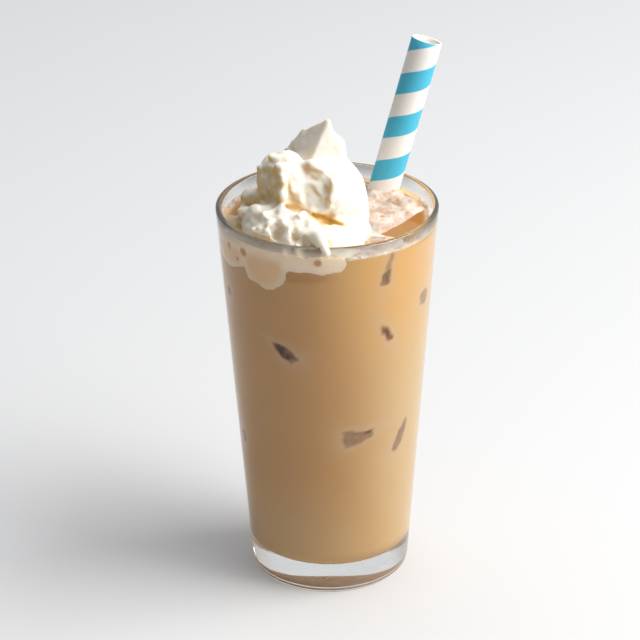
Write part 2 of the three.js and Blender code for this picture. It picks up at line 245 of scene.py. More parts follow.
# The cream heap: ellipsoid lumps, tapered ridges, and how softly each runs into those before it
FIRST_LUMPS, FIRST_LIPS = 7, 7  # how many of each come before the spoon's hollow is cut
CREAM_LUMPS = [
    ((-9, -9, 150.5), (27, 26, 8.5), 0, 0),  # what lies on the coffee
    ((-3, 3, 162), (16, 14, 14), 0, 5),  # the bulk under the peak
    ((5, -2, 158), (10.5, 15, 14), 0, 4),  # the right flank
    ((-16, -10, 170), (10.5, 12.5, 12), 15, 2),  # the middle fold
    ((-6, -13, 165), (9.5, 10, 10), 0, 2.5),  # its lower right end
    ((1.5, -13.5, 168), (6, 7.5, 8.5), 0, 3),  # the prow at its right
    ((-24, -9, 158.5), (9.5, 9, 8), 0, 3),  # its left shoulder
    ((-17.6, -24.4, 157.2), (14.3, 11.5, 7.4), -12, 1.6),  # the front fold
    ((3, -26, 151.5), (10.5, 13, 4), 0, 5),  # the skirt at the front
    ((-25, 18, 151.8), (9.5, 6.2, 3.6), -35, 6),  # the skirt at the back left
    ((-3.5, 13.4, 171), (6.5, 5, 6), 10, 2.5),  # folds behind the peak
    ((2, 14.5, 164.5), (6.5, 5.5, 6.5), 0, 2.5),
    ((-9.5, 19.5, 164.5), (7, 5.5, 6), 20, 2.5),
    ((-15, 17, 160), (7, 6, 6), 0, 3),
]
FOLD_LIPS = [
    # crest of the middle fold, from its torn left end to its right end, and the prow below it
    ((-20.4, -13, 181.6), (-16, -13.5, 180.6), (1.3, 1.9), 1.5),
    ((-16, -13.5, 180.6), (-9.7, -13, 178.4), (1.9, 1.7), 1.5),
    ((-9.7, -13, 178.4), (-5.5, -15, 178.6), (1.7, 1.6), 1.5),
    ((-5.5, -14.5, 177.8), (1.6, -19.2, 173.8), (2.3, 1.6), 3.0),
    ((1.6, -19.2, 173.8), (0.2, -22.2, 165.4), (1.6, 1.2), 2.0),
    ((-17.3, -19.6, 179), (-17.1, -22.2, 167), (2.0, 2.4), 2.5),
    ((-24, -10.5, 174.5), (-25.6, -11, 176.4), (2.0, 0.8), 1.5),
    # crest of the front fold
    ((-31.4, -17.6, 160.7), (-26, -23, 164), (1.4, 1.9), 2),
    ((-26, -23, 164), (-17.3, -25.5, 164.6), (1.9, 2.0), 2),
    ((-17.3, -25.5, 164.6), (-10, -26.6, 162.6), (2.0, 2.0), 2),
]
FOLD_FACE = ((-18.6, -22, 172), (-0.79, -0.6, 0.12))  # flat shaded side of the middle fold
FAR_INSIDE = -9.0  # a distance that cuts nothing
SCOOP = ((-4.6, -24.8, 172.7), (10.6, 12, 16), -3, -21, 2.2)  # flat hollow left by the spoon
CREAM_RIDGES = [
    ((-22, -22, 158), (-30.4, -16.6, 159.4), (4.5, 1.8), 4),  # left end of the front fold
    ((-9.5, -27, 161.8), (-3.2, -36, 157.9), (2.6, 2.6), 3),  # ridge towards the rim
    ((9, -17, 151.2), (27.5, -23.2, 151.1), (2.2, 0.8), 2),  # tail along the coffee
]
TIP = (0.6, 2.4, 190.4)
PEAK_RIDGES = [
    ((-1.5, 4, 164), (0.7, 2.8, 188.6), (13.2, 0.9)),
    ((0.7, 2.4, 189.0), (-6.0, -3.0, 174.8), (0.7, 2.4)),
    ((-6.0, -3.0, 174.8), (-8.0, -5.0, 168), (2.4, 4.0)),
]
PEAK_LUMPS = [((1.9, 3.5, 177.4), (5.7, 6, 6.6)), ((-8, 6, 169), (12, 9.5, 11))]
FIN_RIGHT = (TIP, (0.75, -0.55, -0.132))
FIN_BLOCKS = [
    # the fin that runs back from the peak: each block is what lies behind all of its planes, and a plane is a
    # point on it and the way it faces
    [((0.6, 2.4, 192.2), (0.288, 0.807, 0.516)), ((-11.9, 11, 179), (-0.9, 0.05, 0.43)), FIN_RIGHT],
    [((-12.5, 10.5, 178.2), (0.147, 0.855, 0.497)), ((-19.9, 15.6, 171.6), (-0.93, 0.2, 0.3)), FIN_RIGHT],
]
FIN_FOOT = 158  # height at which the blocks end below
PEAK_FACET = (TIP, (-0.741, -0.458, 0.491))
PEAK_FRONT = (TIP, (0.35, -0.93, 0.181))  # meets the facet in the sharp crest
RIM_DRIP = ((-3.2, -36, 158.4), (-0.4, -43.9, 155.6), (2.8, 1.5))
FRONT_HOLLOWS = [((-18.8, -33.6, 160.2), (2.7, 3.4, 5.2)), ((-12.2, -34.9, 159.2), (1.9, 1.9, 4.2))]
CREVICE = [
    # golden gap between the middle and the front fold
    ((-5.5, -22, 161.8), (1.1, -20.8, 158.4), (0.4, 1.5)),
    ((1.1, -20.8, 158.4), (5.4, -21, 157.4), (1.5, 0.4)),
]
WALL_SMEAR = (-174, -86, 149.5, 2.0, 4.2)  # from and to in degrees, height, inset, thickness
WALL_LOBES = [(-127, 146.0, (10.5, 4, 10.7)), (-157, 147.0, (12.5, 4, 7.8))]
SMEAR_BUBBLES = [(-153.9, 148.1, 1.9), (-140.3, 148.7, 2.4), (-95.3, 150.4, 2.0), (-146, 144.5, 1.2)]


def wall_point(degrees, z, inset=0.0):
    radius, angle = inner_radius(z) - inset, math.radians(degrees)
    return radius * math.cos(angle), radius * math.sin(angle), z


def plane_distance(x, y, z, through, facing):
    n = Vector(facing).normalized()
    return (x - through[0]) * n.x + (y - through[1]) * n.y + (z - through[2]) * n.z


def peak_distance(x, y, z):
    peak = ridge_distance(x, y, z, *PEAK_RIDGES[0])
    for ridge in PEAK_RIDGES[1:]:
        peak = soft_union(peak, ridge_distance(x, y, z, *ridge), 4)
    for at, size in PEAK_LUMPS:
        peak = soft_union(peak, lump_distance(x, y, z, at, size), 2)
    facet = plane_distance(x, y, z, *PEAK_FACET)
    for planes in FIN_BLOCKS:
        block = np.maximum(facet, FIN_FOOT - z)
        for through, facing in planes:
            block = soft_cut(block, plane_distance(x, y, z, through, facing), 1.5)
        peak = soft_union(peak, block, 1.0)
    peak = soft_cut(peak, plane_distance(x, y, z, *PEAK_FRONT), 2.5)
    return soft_cut(peak, facet, 0.5)


def cream_base(x, y, z):
    heap = None
    for at, size, turn, blend in CREAM_LUMPS[:FIRST_LUMPS]:
        lump = lump_distance(x, y, z, at, size, turn)
        heap = lump if heap is None else soft_union(heap, lump, blend)
    heap = soft_union(heap, peak_distance(x, y, z), 2.5)
    for start, end, thick, blend in FOLD_LIPS[:FIRST_LIPS]:
        heap = soft_union(heap, ridge_distance(x, y, z, start, end, thick), blend)
    face = np.maximum(plane_distance(x, y, z, *FOLD_FACE), FAR_INSIDE)
    heap = np.where(z > 160, soft_cut(heap, np.where(y < -5, face, FAR_INSIDE), 0.8), heap)
    heap = soft_cut(heap, -box_distance(x, y, z, *SCOOP), 0.8)
    for at, size, turn, blend in CREAM_LUMPS[FIRST_LUMPS:]:
        heap = soft_union(heap, lump_distance(x, y, z, at, size, turn), blend)
    for start, end, thick, blend in FOLD_LIPS[FIRST_LIPS:] + CREAM_RIDGES:
        heap = soft_union(heap, ridge_distance(x, y, z, start, end, thick), blend)
    for at, size, turn in CRAGS:
        heap = soft_union(heap, lump_distance(x, y, z, at, size, turn), 1.2)
    for at, size in FRONT_HOLLOWS:
        heap = soft_cut(heap, -lump_distance(x, y, z, at, size), 1.5)
    for crevice in CREVICE:
        heap = soft_cut(heap, -ridge_distance(x, y, z, *crevice), 0.8)
    low, high, height, inset, thick = WALL_SMEAR
    middle, half = math.radians((low + high) / 2), math.radians((high - low) / 2)
    turned = np.arctan2(y, x) - middle
    angle = middle + np.clip(np.arctan2(np.sin(turned), np.cos(turned)), -half, half)
    radius = inner_radius(height) - inset
    smear = (x - radius * np.cos(angle)) ** 2 + (y - radius * np.sin(angle)) ** 2 + (z - height) ** 2
    heap = soft_union(heap, np.sqrt(smear) - thick, 3)
    for degrees, height, size in WALL_LOBES:
        lobe = lump_distance(x, y, z, wall_point(degrees, height, 1.5), size, degrees + 90)
        heap = soft_union(heap, lobe, 2)
    return heap


def cream_field(x, y, z):
    heap = cream_base(x, y, z)
    near = np.abs(heap) < 4
    nx, ny, nz = x[near], y[near], z[near]
    rough = 0.22 + 0.78 * smooth_step(0, -14, ny) * smooth_step(14, 2, nx)
    rough = np.maximum(rough, 0.5 * smooth_step(-4, -9, nx))
    facet = np.abs(plane_distance(nx, ny, nz, *PEAK_FACET))
    behind = plane_distance(nx, ny, nz, *PEAK_FRONT)
    on_facet = smooth_step(3, 1, facet) * smooth_step(170, 174, nz) * smooth_step(-2, -5, behind)
    rough = np.maximum(rough, 0.5 * on_facet)
    rough = rough + 0.6 * smooth_step(-13, -18, ny) * smooth_step(-5, -10, nx) * smooth_step(168, 165, nz)
    rough = np.maximum(rough, 0.6 * smooth_step(4, 9, ny))
    grain = 0.8 * lattice_noise(nx, ny, nz * 0.8, 5.5, 3) + 0.6 * lattice_noise(nx, ny, nz, 2.6, 5)
    grain = grain + 0.22 * lattice_noise(nx, ny, nz, 1.35, 7)
    heap[near] += rough * grain
    radius = np.sqrt(x**2 + y**2)
    clear = 1.0 * smooth_step(152.5, 154.5, z) - 2.3 * smooth_step(157.8, 160, z)
    heap = np.maximum(heap, radius - inner_radius(z) - INTO_WALL - 0.08 + clear)
    top = GLASS_HEIGHT - RIM_THICKNESS / 2
    middle = outer_radius(np.minimum(z, top)) - RIM_THICKNESS / 2
    rim = np.sqrt((radius - middle) ** 2 + np.maximum(z - top, 0) ** 2) - RIM_THICKNESS / 2
    drip = np.maximum(ridge_distance(x, y, z, *RIM_DRIP), -rim - 0.1)
    return soft_union(heap, drip, 0.8)


# Small upright crags on the front of the folds, each set where a line from the front meets the cream
CRAG_GROUPS = ((-32, -8, 154.5, 163.5, 16), (-17, -13, 168, 178, 4))  # x from and to, z from and to, how many
CRAGS = []
draw = np.random.default_rng(17)
for low_x, high_x, low_z, high_z, count in CRAG_GROUPS:
    for _ in range(count):
        cx, cz = draw.uniform(low_x, high_x), draw.uniform(low_z, high_z)
        line = np.arange(-40, 0, 0.25)
        hit = np.argmax(cream_base(np.full_like(line, cx), line, np.full_like(line, cz)) < 0)
        wide = draw.uniform(0.9, 1.9)
        size = (wide, wide * 1.1, wide * draw.uniform(1.3, 2.1))
        CRAGS.append(((cx, line[hit] + 0.3, cz), size, draw.uniform(-30, 30)))

CREAM_BOX = (-44, -49, 132), (30, 30, 194)
CREAM_STEP = 0.55
cream_points, cream_faces = skin(cream_field, *CREAM_BOX, CREAM_STEP)
cream = make_piece("cream_heap", cream_points, cream_faces, "cream", ["cream"])
cream_x, cream_y, cream_z = cream_points.T

# How deep each point of the cream lies in a fold, which the material turns into painted shade, and where
# coffee shows through it
normals = np.zeros(len(cream_points) * 3, np.float32)
cream.data.vertices.foreach_get("normal", normals)
normals = normals.reshape(-1, 3)
fold = np.zeros(len(cream_points))
for reach in (1.6, 3.2, 6.4):
    ahead = (cream_points + normals * reach).T
    fold += np.clip(1 - cream_base(*ahead) / reach, 0, 1.5) / 3
set_values(cream, "fold", np.clip(fold, 0, 1))
# where the painted shade of the far side is eased, on the front fold and the peak's facet
shade_eased_front = smooth_step(-16, -22, cream_y) * smooth_step(168, 165, cream_z)
facet_gap = np.abs(plane_distance(*cream_points.T, *PEAK_FACET))
on_facet = smooth_step(174, 178, cream_z) * smooth_step(3, 1, facet_gap)
set_values(cream, "pale", np.maximum(shade_eased_front, on_facet))
# the crevice: a coffee stain, with painted shade darkening its deepest line
gold = np.min([ridge_distance(*cream_points.T, *crevice) for crevice in CREVICE], axis=0)
set_values(cream, "gold", smooth_step(1.5, 0.1, gold))
stain = np.zeros(len(cream_points))
for degrees, height, size in SMEAR_BUBBLES:
    gap = np.linalg.norm(cream_points - np.array(wall_point(degrees, height)), axis=1)
    stain = np.maximum(stain, smooth_step(size, size * 0.45, gap))
set_values(cream, "stain", stain)
# painted shade on the cream's low left end, which faces away from the light
soak_and_painted_shade = smooth_step(-29, -34, cream_x) * smooth_step(4, -6, cream_y)
soak_and_painted_shade = soak_and_painted_shade * smooth_step(160.5, 158.0, cream_z)
from_axis = np.hypot(cream_x, cream_y)
touching = smooth_step(-1.2, -0.2, from_axis - inner_radius(cream_z))
# real soaking where the cream lies on the coffee away from the wall
wet = 0.3 * smooth_step(156, 152.5, cream_z) * (1 - touching)
set_values(cream, "soak_and_painted_shade", np.maximum(soak_and_painted_shade, wet))
towards_axis = np.stack([cream_x, cream_y, 0 * from_axis], 1)
inward = cream_points - towards_axis * (2.6 / from_axis)[:, None]
thin = smooth_step(-2.5, 1.5, cream_base(*inward.T))
set_values(cream, "smear", touching * smooth_step(157, 154, cream_z))
lobe = np.zeros(len(cream_points))
cream_azimuth = np.degrees(np.arctan2(cream_y, cream_x))
for degrees, height, size in WALL_LOBES:
    across = np.radians(cream_azimuth - degrees) * from_axis / size[0]
    lobe = np.maximum(lobe, smooth_step(0.95, 0.6, np.hypot(across, (cream_z - height) / size[2])))
set_values(cream, "lobe", touching * lobe * smooth_step(151.5, 146.5, cream_z))
set_values(cream, "thin", touching * thin * smooth_step(157, 152, cream_z))


# The glass
def glass_profile():
    edge = RIM_THICKNESS / 2
    shoulder = GLASS_HEIGHT - edge
    floor_edge = inner_radius(FLOOR_HEIGHT)
    heel = (outer_radius(HEEL_ROUND), HEEL_ROUND)
    low_in = (inner_radius(FLOOR_HEIGHT + FLOOR_ROUND), FLOOR_HEIGHT + FLOOR_ROUND)
    ring = FOOT_RADIUS - HEEL_ROUND
    path = [(0, FOOT_HOLLOW)] + line_points((0, FOOT_HOLLOW), (ring - 7, FOOT_HOLLOW * 0.8), 4)
    path += curve_points(path[-1], (ring - 3, FOOT_HOLLOW * 0.7), (ring - 1.2, 0), 8)
    path += line_points(path[-1], (ring, 0), 2)
    for radius, height in curve_points(path[-1], (outer_radius(0), 0), heel, 36):
        groove = sum(math.exp(-(((height - at) / GROOVE_WIDTH) ** 2)) for at in HEEL_GROOVES)
        path.append((radius - GROOVE_DEPTH * groove, height))
    path += line_points(heel, (outer_radius(shoulder), shoulder), 24)
    path += curve_points(path[-1], (RIM_RADIUS, GLASS_HEIGHT), (RIM_RADIUS - edge, GLASS_HEIGHT), 8)
    inner_corner = (RIM_RADIUS - RIM_THICKNESS, GLASS_HEIGHT)
    path += curve_points(path[-1], inner_corner, (inner_radius(shoulder), shoulder), 8)
    path += line_points(path[-1], low_in, 24)
    path += curve_points(low_in, (floor_edge, FLOOR_HEIGHT), (floor_edge - FLOOR_ROUND, FLOOR_HEIGHT), 10)
    path += line_points(path[-1], (0, FLOOR_HEIGHT), 4)
    return path


GLASS_SIDES = 192
glass_points, glass_faces = revolve(glass_profile(), GLASS_SIDES)
glass = make_piece("tumbler", glass_points, glass_faces, "glass", ["glass"])

# Painted dark reflections on the rim, at its outer sides and thinly along its inner lip, and the scuffed
# underside
glass_x, glass_y, glass_z = glass_points.T
sideways = np.abs(glass_x) / np.maximum(np.hypot(glass_x, glass_y), 1)
inset = RIM_RADIUS - np.hypot(glass_x, glass_y)
edge = smooth_step(0.7, 0.98, sideways) * smooth_step(154.2, 155.4, glass_z) * smooth_step(1.5, 1.0, inset)
lip = 0.6 * smooth_step(1.5, 2.1, inset) * smooth_step(155.2, 155.9, glass_z)
set_values(glass, "foot", smooth_step(1.6, 1.0, glass_z))
set_values(glass, "edge", edge)
set_values(glass, "lip", lip * smooth_step(0.95, 0.7, sideways))

# The coffee, just into the glass's wall and floor, with a small rise where it meets the wall
SUNK_ICE = [
    # degrees round the glass, height, half width, half height, slant in degrees, taper, how dark
    (-117, 110.4, 4.9, 2.0, -33, 0.3, 1.0),
    (-55.3, 117, 1.45, 4.2, 30, 0.0, 0.95),
    (-71.5, 72.8, 6.0, 2.9, 5, -0.45, 0.55),
    (-65.5, 74.4, 2.8, 0.8, 14, 0.0, 0.85),
    (-38.5, 67.4, 1.9, 6.0, -28, -0.2, 0.6),
    (-57, 141.3, 1.8, 3.0, -12, -0.2, 0.75),
    (-55.5, 147, 1.0, 4.6, -14, 0.0, 0.45),
    (-23, 124.8, 3.6, 2.9, -12, 0.0, 0.55),
    (-160.5, 127, 1.2, 1.8, 0, 0.0, 0.8),
    (-161.3, 63, 1.2, 2.2, 0, 0.0, 0.6),
    (28, 96, 5.0, 1.8, 15, 0.4, 0.9),
    (62, 128, 1.4, 2.8, -8, 0.0, 0.8),
    (88, 71, 4.6, 1.7, -10, -0.4, 0.7),
    (124, 112, 3.6, 1.6, 12, 0.3, 0.9),
    (152, 86, 1.4, 3.0, 6, 0.0, 0.7),
]
SPOT_ROUND = 2.4  # 2 makes an ellipse, more makes a box


def coffee_profile():
    grow = INTO_WALL
    floor = FLOOR_HEIGHT - grow
    floor_edge = inner_radius(FLOOR_HEIGHT) + grow
    low_in = (inner_radius(FLOOR_HEIGHT + FLOOR_ROUND) + grow, FLOOR_HEIGHT + FLOOR_ROUND)
    top = (inner_radius(COFFEE_LEVEL + MENISCUS) + grow, COFFEE_LEVEL + MENISCUS)
    path = [(0, floor)] + line_points((0, floor), (floor_edge - FLOOR_ROUND, floor), 6)
    path += curve_points(path[-1], (floor_edge, floor), low_in, 10)
    path += line_points(low_in, top, 190)
    path += curve_points(top, (top[0] - 0.4, COFFEE_LEVEL), (top[0] - 2.2, COFFEE_LEVEL), 6)
    path += line_points(path[-1], (0, COFFEE_LEVEL), 40)
    return path


COFFEE_SIDES = 320
coffee_points, coffee_faces = revolve(coffee_profile(), COFFEE_SIDES)
coffee = make_piece("iced_coffee", coffee_points, coffee_faces, "coffee", ["coffee"])
coffee_x, coffee_y, coffee_z = coffee_points.T

# Sunk ice that shows through, each a rounded spot with a worn outline
azimuth = np.arctan2(coffee_y, coffee_x)
reach_out = np.hypot(coffee_x, coffee_y)
shown, halo = np.zeros(len(coffee_points)), np.zeros(len(coffee_points))
on_wall = reach_out > inner_radius(coffee_z) - 2
for degrees, height, half_width, half_height, slant, taper, dark in SUNK_ICE:
    turned = azimuth - math.radians(degrees)
    across = np.arctan2(np.sin(turned), np.cos(turned)) * reach_out
    up = coffee_z - height
    c, s = math.cos(math.radians(slant)), math.sin(math.radians(slant))
    along, over = across * c + up * s, up * c - across * s
    if half_width > half_height:
        wide, tall = half_width, half_height * np.clip(1 + taper * along / half_width, 0.45, 2)
    else:
        wide, tall = half_width * np.clip(1 + taper * over / half_height, 0.45, 2), half_height
    gap = ((np.abs(along) / wide) ** SPOT_ROUND + (np.abs(over) / tall) ** SPOT_ROUND) ** (1 / SPOT_ROUND) - 1
    gap = gap * min(half_width, half_height) + 0.75 * lattice_noise(across, up, 0 * up + height, 1.9, 11)
    shown = np.maximum(shown, dark * on_wall * smooth_step(0.6, -0.5, gap))
    halo = np.maximum(halo, on_wall * np.exp(-((np.maximum(gap, 0) / 2.4) ** 2)))
set_values(coffee, "ice_shown", shown)
set_values(coffee, "ice_halo", halo)

# Painted light makes the drink paler towards the right and a painted glow lights its upper right; it is also
# paler towards the foot. Painted shade makes it browner under the smear and in the open pool at the right
painted_light_and_pale_foot = np.maximum(smooth_step(-2, 34, coffee_x), 0.5 * smooth_step(60, 20, coffee_z))
set_values(coffee, "painted_light_and_pale_foot", on_wall * painted_light_and_pale_foot)
near_wall = smooth_step(-3.6, -0.8, reach_out - inner_radius(coffee_z))
# painted shade: the open pool at the right, beside the ice, is darker orange
painted_pool_shade = (coffee_x - 30.2) * 0.72 + (coffee_y + 2.4) * 0.69
set_values(coffee, "painted_pool_shade", smooth_step(-0.6, 0.6, painted_pool_shade) * (coffee_z > COFFEE_LEVEL - 0.05))
# painted shade: a browner band under the smear
under = np.hypot(np.degrees(azimuth) + 103, (coffee_z - 143.4) * 8)
set_values(coffee, "painted_shade_under_smear", on_wall * smooth_step(24, 8, under + 6 * lattice_noise(*coffee_points.T, 4.0, 13)))
set_values(coffee, "shore", near_wall * (coffee_z > COFFEE_LEVEL - 0.05))
# painted light: a brighter orange glow at the upper right
painted_glow = smooth_step(85, 147, coffee_z) * smooth_step(-12, 18, coffee_x)
set_values(coffee, "painted_glow", on_wall * painted_glow * smooth_step(44, 28, coffee_x))

# Ice that breaks the surface
ICE_ROUND = 3.0
ICE_STEP = 0.8
ICE_CUBES = [
    # node, middle, size, turn and tilt in degrees
    ("ice_front", (18.8, -1.2, 144.6), (21, 20.5, 19), 52, 2),
    ("ice_right", (29.2, 11.3, 146.8), (9.8, 11, 14), 52, -3),
    ("ice_back", (-2, 27.5, 145.6), (20, 18, 17), 12, 4),
    ("ice_left", (-21.5, 19, 145.4), (15, 16, 17), -42, -5),
]
for node, at, size, turn, tilt in ICE_CUBES:

    def melted(x, y, z):
        cube = box_distance(x, y, z, at, size, turn, tilt, ICE_ROUND)
        return cube + 0.35 * lattice_noise(x, y, z, 4.0, 21) + 0.15

    spread = max(size) * 0.75 + 1
    low = [c - spread for c in at]
    high = [c + spread for c in at]
    make_piece(node + "_melted", *skin(melted, low, high, ICE_STEP), "ice", [node])


# Froth on the coffee, open where the bare drink shows at the front right and by the left wall
BUBBLE_COUNT = 170
BUBBLE_REACH = 39  # no bubble lies further out
FROTH_BOX = (-41, -41, 149.6), (41, 41, 157.0)
FROTH_STEP = 0.5
FROTH_BUBBLES = []
for _ in range(BUBBLE_COUNT):
    turn, out = draw.uniform(0, 2 * math.pi), BUBBLE_REACH * math.sqrt(draw.uniform(0, 1))
    FROTH_BUBBLES.append((out * math.cos(turn), out * math.sin(turn), draw.uniform(0.25, 0.95)))


def froth_cover(x, y):
    """1 where froth lies on the coffee, 0 where the drink is bare."""
    flat = 0 * x
    border = lattice_noise(x, y, flat, 5.0, 31) * 1.2 + lattice_noise(x, y, flat, 2.0, 32) * 0.6
    side = (x - 20.5) * 0.797 - (y + 17) * 0.603
    tail = (x - 20.5) * 0.59 + (y + 17.5) * 0.81
    bare = np.minimum(side, tail) + border * 0.6
    radius, angle = np.hypot(x, y), np.degrees(np.arctan2(y, x))
    shore = smooth_step(4, 20, angle) * smooth_step(140, 70, angle)
    near_wall = radius - 42.0 + shore * 5.4 + border * 0.4
    left = np.minimum(-x - 27 + border, 37.6 - radius + border * 0.4)
    patches = lattice_noise(x, y, flat, 9.0, 33) * 3.0 - smooth_step(16, 30, y) + 1.2
    behind = np.where(x < 12, -patches, FAR_INSIDE)
    away = np.maximum(np.maximum(np.maximum(bare, near_wall), left), behind)
    front_ring = np.where((angle > -85) & (angle < 24), 38.0 - radius + border * 0.3, 9.0)
    return smooth_step(0.3, -1.6, np.minimum(away, front_ring))


def froth_height(x, y):
    flat = 0 * x
    cover = froth_cover(x, y)
    bumps = 0.55 * lattice_noise(x, y, flat, 3.2, 34) + 0.35 * lattice_noise(x, y, flat, 1.4, 35)
    over_ice = flat
    for _, at, size, turn, _ in ICE_CUBES:
        top = at[2] + size[2] / 2 - COFFEE_LEVEL
        cube = box_distance(x, y, flat + at[2], at, size, turn, 0.0, ICE_ROUND)
        over_ice = np.maximum(over_ice, (top - 0.6) * smooth_step(1.8, -2.0, cube))
    mound = 2.4 * smooth_step(10.5, 4.5, np.hypot(x - 22.5, (y - 20) * 1.2))
    height = cover * (0.8 + bumps + np.maximum(over_ice, mound)) - 0.5 * (1 - cover)
    for cx, cy, size in FROTH_BUBBLES:
        gap = (x - cx) ** 2 + (y - cy) ** 2
        dome = height + np.sqrt(np.maximum(size**2 - gap, 0)) * 0.9
        height = np.where((gap < size**2) & (cover > 0.5), dome, height)
    return height


def froth_field(x, y, z):
    height = froth_height(x[:, :, 0], y[:, :, 0])[:, :, None]
    slab = np.maximum((z - COFFEE_LEVEL - height) * 0.8, COFFEE_LEVEL - 0.8 - z)
    return np.maximum(slab, np.hypot(x, y) - inner_radius(z) - INTO_WALL)


make_piece("froth", *skin(froth_field, *FROTH_BOX, FROTH_STEP), "coffee")

# The straw, along its own Z axis, with its edges broken by a tenth of a millimetre
STRAW_SIDES = 64
STRAW_ROWS = 60
bore = STRAW_RADIUS - STRAW_WALL
low_edge, high_edge = 0.1, STRAW_LENGTH - 0.1
straw_profile = [(bore, low_edge), (bore + 0.1, 0), (STRAW_RADIUS - 0.1, 0), (STRAW_RADIUS, low_edge)]
straw_profile += line_points((STRAW_RADIUS, low_edge), (STRAW_RADIUS, high_edge), STRAW_ROWS)
straw_profile += [(STRAW_RADIUS - 0.1, STRAW_LENGTH), (bore + 0.1, STRAW_LENGTH), (bore, high_edge)]
straw_profile += line_points((bore, high_edge), (bore, low_edge), STRAW_ROWS)
straw_points, straw_faces = revolve(straw_profile, STRAW_SIDES)
lowest = STRAW_RADIUS * math.hypot(STRAW_LEAN.x, STRAW_LEAN.y)
foot_height = FLOOR_HEIGHT + STRAW_CLEAR + lowest
straw_foot = STRAW_AT_RIM + STRAW_LEAN * ((foot_height - GLASS_HEIGHT) / STRAW_LEAN.z)
straw = make_piece("paper_straw", straw_points, straw_faces, "straw", ["straw"])
lean = Vector((0, 0, 1)).rotation_difference(STRAW_LEAN).to_matrix().to_4x4()
straw.matrix_world = Matrix.Translation(straw_foot * 0.001) @ lean


# Materials
class Shader:
    def __init__(self, name):
        self.material = bpy.data.materials.new(name)
        self.material.use_nodes = True
        self.tree = self.material.node_tree
        self.tree.nodes.clear()

    def node(self, kind, sockets=None, **settings):
        made = self.tree.nodes.new("ShaderNode" + kind)
        for key, value in settings.items():
            setattr(made, key, value)
        for key, value in (sockets or {}).items():
            socket = made.inputs[key]
            if isinstance(value, bpy.types.NodeSocket):
                self.tree.links.new(value, socket)
            else:
                socket.default_value = value
        return made

    def math(self, operation, *values, clamp=False):
        return self.node("Math", dict(enumerate(values)), operation=operation, use_clamp=clamp).outputs[0]

    def mix(self, share, a, b):
        made = self.node("Mix", data_type="RGBA")
        for socket, value in ((made.inputs[0], share), (made.inputs[6], a), (made.inputs[7], b)):
            if isinstance(value, bpy.types.NodeSocket):
                self.tree.links.new(value, socket)
            else:
                socket.default_value = value
        return made.outputs[2]

    def value(self, name):
        return self.node("Attribute", attribute_name=name).outputs["Fac"]

    def place(self):
        return self.node("TexCoord").outputs["Object"]

    def noise(self, scale, detail=2.0, rough=0.5):
        sockets = {"Vector": self.place(), "Scale": scale, "Detail": detail, "Roughness": rough}
        return self.node("TexNoise", sockets).outputs[0]

    def bump(self, height, strength, distance):
        sockets = {"Height": height, "Strength": strength, "Distance": distance}
        return self.node("Bump", sockets).outputs[0]

    def principled(self, **sockets):
        named = {key.replace("_", " "): value for key, value in sockets.items()}
        return self.node("BsdfPrincipled", named).outputs[0]

    def finish(self, surface, volume=None):
        sockets = {"Surface": surface}
        if volume is not None:
            sockets["Volume"] = volume
        self.node("OutputMaterial", sockets)
        return self.material


def glass_material():
    s = Shader("clear glass")
    clear = s.principled(Base_Color=(0.995, 0.998, 0.996, 1), Roughness=0.0, IOR=1.5, Transmission_Weight=1.0)
    # painted reflection: a dark olive gloss on the rim's outer sides and inner lip
    dark_reflection_tone = s.mix(s.noise(90.0, 2.0), (0.040, 0.044, 0.028, 1), (0.06, 0.062, 0.042, 1))
    painted_reflection = s.principled(Base_Color=dark_reflection_tone, Roughness=0.08, IOR=1.5)
    hidden = s.math("MULTIPLY", s.node("NewGeometry").outputs["Backfacing"], 0.8)
    outside = s.math("SUBTRACT", 1.0, hidden)
    dark = s.math("MAXIMUM", s.math("MULTIPLY", s.value("edge"), outside), s.value("lip"))
    dark = s.math("MULTIPLY", dark, 0.95)
    clear = s.node("MixShader", {0: dark, 1: clear, 2: painted_reflection}).outputs[0]
    scuffs = s.math("MULTIPLY", s.noise(120.0, 3.0), 0.25)
    scuffed = s.principled(Base_Color=(0.86, 0.85, 0.83, 1), Roughness=0.5, IOR=1.5)
    worn = s.math("MULTIPLY", s.value("foot"), scuffs)
    clear = s.node("MixShader", {0: worn, 1: clear, 2: scuffed}).outputs[0]
    rays = s.node("LightPath").outputs
    soft = s.math("MAXIMUM", rays["Is Shadow Ray"], rays["Is Diffuse Ray"])
    through = s.node("BsdfTransparent", {"Color": (0.97, 0.98, 0.975, 1)}).outputs[0]
    surface = s.node("MixShader", {0: soft, 1: clear, 2: through}).outputs[0]
    tint = s.node("VolumeAbsorption", {"Color": (0.72, 0.8, 0.74, 1), "Density": 3.0}).outputs[0]
    return s.finish(surface, tint)


